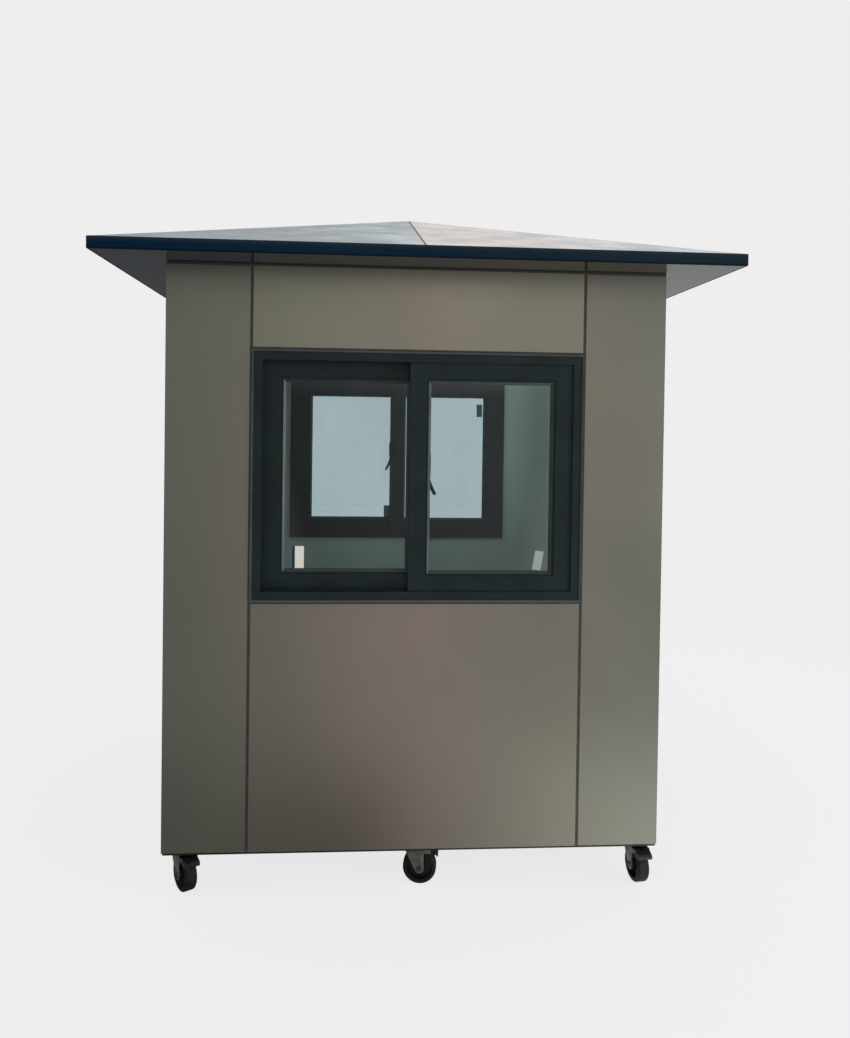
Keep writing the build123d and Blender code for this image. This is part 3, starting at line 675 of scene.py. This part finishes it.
def studio_floor():
    """Matt paper that keeps the booth's shadow and fades into the even page away from it."""
    made = bpy.data.materials.new("studio_floor")
    made.use_nodes = True
    tree = made.node_tree
    tree.nodes.clear()
    seen, mirrored = page_seen(tree)
    place = add(tree, "TexCoord").outputs["Object"]
    away = add(tree, "VectorMath", {0: place}, operation="LENGTH").outputs["Value"]
    ways = add(tree, "SeparateXYZ", {"Vector": place}).outputs
    matt = add(tree, "BsdfDiffuse", {"Color": (0.7, 0.7, 0.7, 1.0)}).outputs[0]
    level = spread(tree, away, 1.055 * page_level, page_level, paper_near, paper_far)
    page = add(tree, "Emission", {"Color": white, "Strength": level}).outputs[0]
    page_share = spread(tree, away, 0.86, 1.0, paper_near, paper_far)
    paper = add(tree, "MixShader", {0: page_share, 1: matt, 2: page}).outputs[0]
    near_sheen = spread(tree, ways["X"], 0.09, 1.5, -0.18, 1.0)
    middle_rise = spread(tree, ways["X"], 0.26, 0.8, -1.3, 0.1)
    middle_fall = spread(tree, ways["X"], 1.0, 0.3, 0.45, 1.05)
    middle_sheen = calc(tree, "MULTIPLY", middle_rise, middle_fall)
    far_sheen = opposite_side(tree, ways, spread(tree, ways["Y"], 1.0, 0.0, -6.6, -5.4))
    back_sheen = spread(tree, ways["X"], 0.12, 0.52, -3.0, 3.0)
    sheen = mix(tree, spread(tree, ways["Y"], 0.0, 1.0, -5.6, -4.8), far_sheen, middle_sheen)
    sheen = mix(tree, spread(tree, ways["Y"], 0.0, 1.0, -2.7, -1.8), sheen, near_sheen)
    sheen = mix(tree, spread(tree, ways["Y"], 0.0, 1.0, -1.0, -0.7), sheen, back_sheen)
    mirror_page = add(tree, "Emission", {"Color": white, "Strength": sheen}).outputs[0]
    mirror_share = spread(tree, away, 0.88, 1.0, paper_near, paper_far)
    glossy = add(tree, "MixShader", {0: mirror_share, 1: matt, 2: mirror_page}).outputs[0]
    unseen = add(tree, "MixShader", {0: mirrored, 1: matt, 2: glossy}).outputs[0]
    choice = add(tree, "MixShader", {0: seen, 1: unseen, 2: paper}).outputs[0]
    feed(tree, add(tree, "OutputMaterial").inputs["Surface"], choice)
    return made


floor_mesh = bmesh.new()
bmesh.ops.create_grid(floor_mesh, x_segments=1, y_segments=1, size=floor_side / 2)
floor_data = bpy.data.meshes.new("studio_floor")
floor_mesh.to_mesh(floor_data)
floor_mesh.free()
studio = bpy.data.objects.new("studio_floor", floor_data)
bpy.context.scene.collection.objects.link(studio)
floor_data.materials.append(studio_floor())

world = bpy.data.worlds.new("studio")
bpy.context.scene.world = world
world.use_nodes = True
sky = world.node_tree
sky.nodes.clear()
sky_seen, sky_mirrored = page_seen(sky)
sky_ways = add(sky, "SeparateXYZ", {"Vector": add(sky, "TexCoord").outputs["Generated"]}).outputs
low_shade = spread(sky, sky_ways["Z"], 1.0, 0.0, 0.03, 0.09)
front_light = opposite_side(sky, sky_ways, low_shade)
left_light = spread(sky, sky_ways["X"], 0.28, 0.52, -0.9, -0.45)
back_light = calc(sky, "ADD", left_light, spread(sky, sky_ways["X"], 0.0, 0.44, -0.1, 0.06))
is_front = spread(sky, sky_ways["Y"], 0.0, 1.0, -0.3, -0.75)
side_light = mix(sky, is_front, back_light, front_light)
mirrored_light = mix(sky, spread(sky, sky_ways["Z"], 0.0, 1.0, 0.45, 0.75), side_light, even_grey)
soft_strength = mix(sky, sky_mirrored, soft_white, mirrored_light)
page_colour = (page_level, page_level, page_level, 1.0)
page_light = add(sky, "Background", {"Color": page_colour, "Strength": 1.0}).outputs[0]
soft_light = add(sky, "Background", {"Color": white, "Strength": soft_strength}).outputs[0]
sky_choice = add(sky, "MixShader", {0: sky_seen, 1: soft_light, 2: page_light}).outputs[0]
feed(sky, add(sky, "OutputWorld").inputs["Surface"], sky_choice)


def soft_lamp(name, at, target, size, power, colour):
    """One rectangular lamp; the camera doesn't see the lamp itself."""
    data = bpy.data.lights.new(name, "AREA")
    data.shape = "RECTANGLE"
    data.size, data.size_y = size
    data.energy = power
    data.color = colour
    lamp = bpy.data.objects.new(name, data)
    bpy.context.scene.collection.objects.link(lamp)
    lamp.location = at
    lamp.rotation_euler = (Vector(target) - Vector(at)).to_track_quat("-Z", "Y").to_euler()
    lamp.visible_camera = False
    lamp.visible_transmission = False


soft_lamp("right_lamp", (5.2, -3.6, 1.3), (0.2, 0, 0.9), (2.8, 2.0), 130.0, (1.0, 0.98, 0.95))
soft_lamp("inside_lamp", (0.2, 0.1, 2.15), (0.45, 0.2, 0.2), (1.0, 1.0), 2.8, (0.97, 1.0, 0.98))

# The camera's lens and shift come from the image's size, focal length and optical centre, in its pixels
image_wide, image_high = 850.0, 1038.0
focal_length = 860.0
centre_x, centre_y = 419.9, 436.2
sensor = 36.0
camera_place = (-0.214, -4.052, 1.732)
camera_yaw, camera_pitch, camera_roll = -0.069, -0.016, 0.014

camera_data = bpy.data.cameras.new("camera")
camera_data.sensor_fit = "AUTO"
camera_data.sensor_width = sensor
camera_data.lens = focal_length / image_high * sensor
camera_data.shift_x = (image_wide / 2 - centre_x) / image_high
camera_data.shift_y = (centre_y - image_high / 2) / image_high
camera_data.clip_end = 200.0
camera = bpy.data.objects.new("camera", camera_data)
bpy.context.scene.collection.objects.link(camera)
turned = Matrix.Rotation(camera_yaw, 4, "Z")
raised = Matrix.Rotation(pi / 2 + camera_pitch, 4, "X")
rolled = Matrix.Rotation(camera_roll, 4, "Z")
camera.matrix_world = Matrix.Translation(camera_place) @ (turned @ raised @ rolled)
bpy.context.scene.camera = camera

bpy.context.scene.view_settings.view_transform = "Standard"
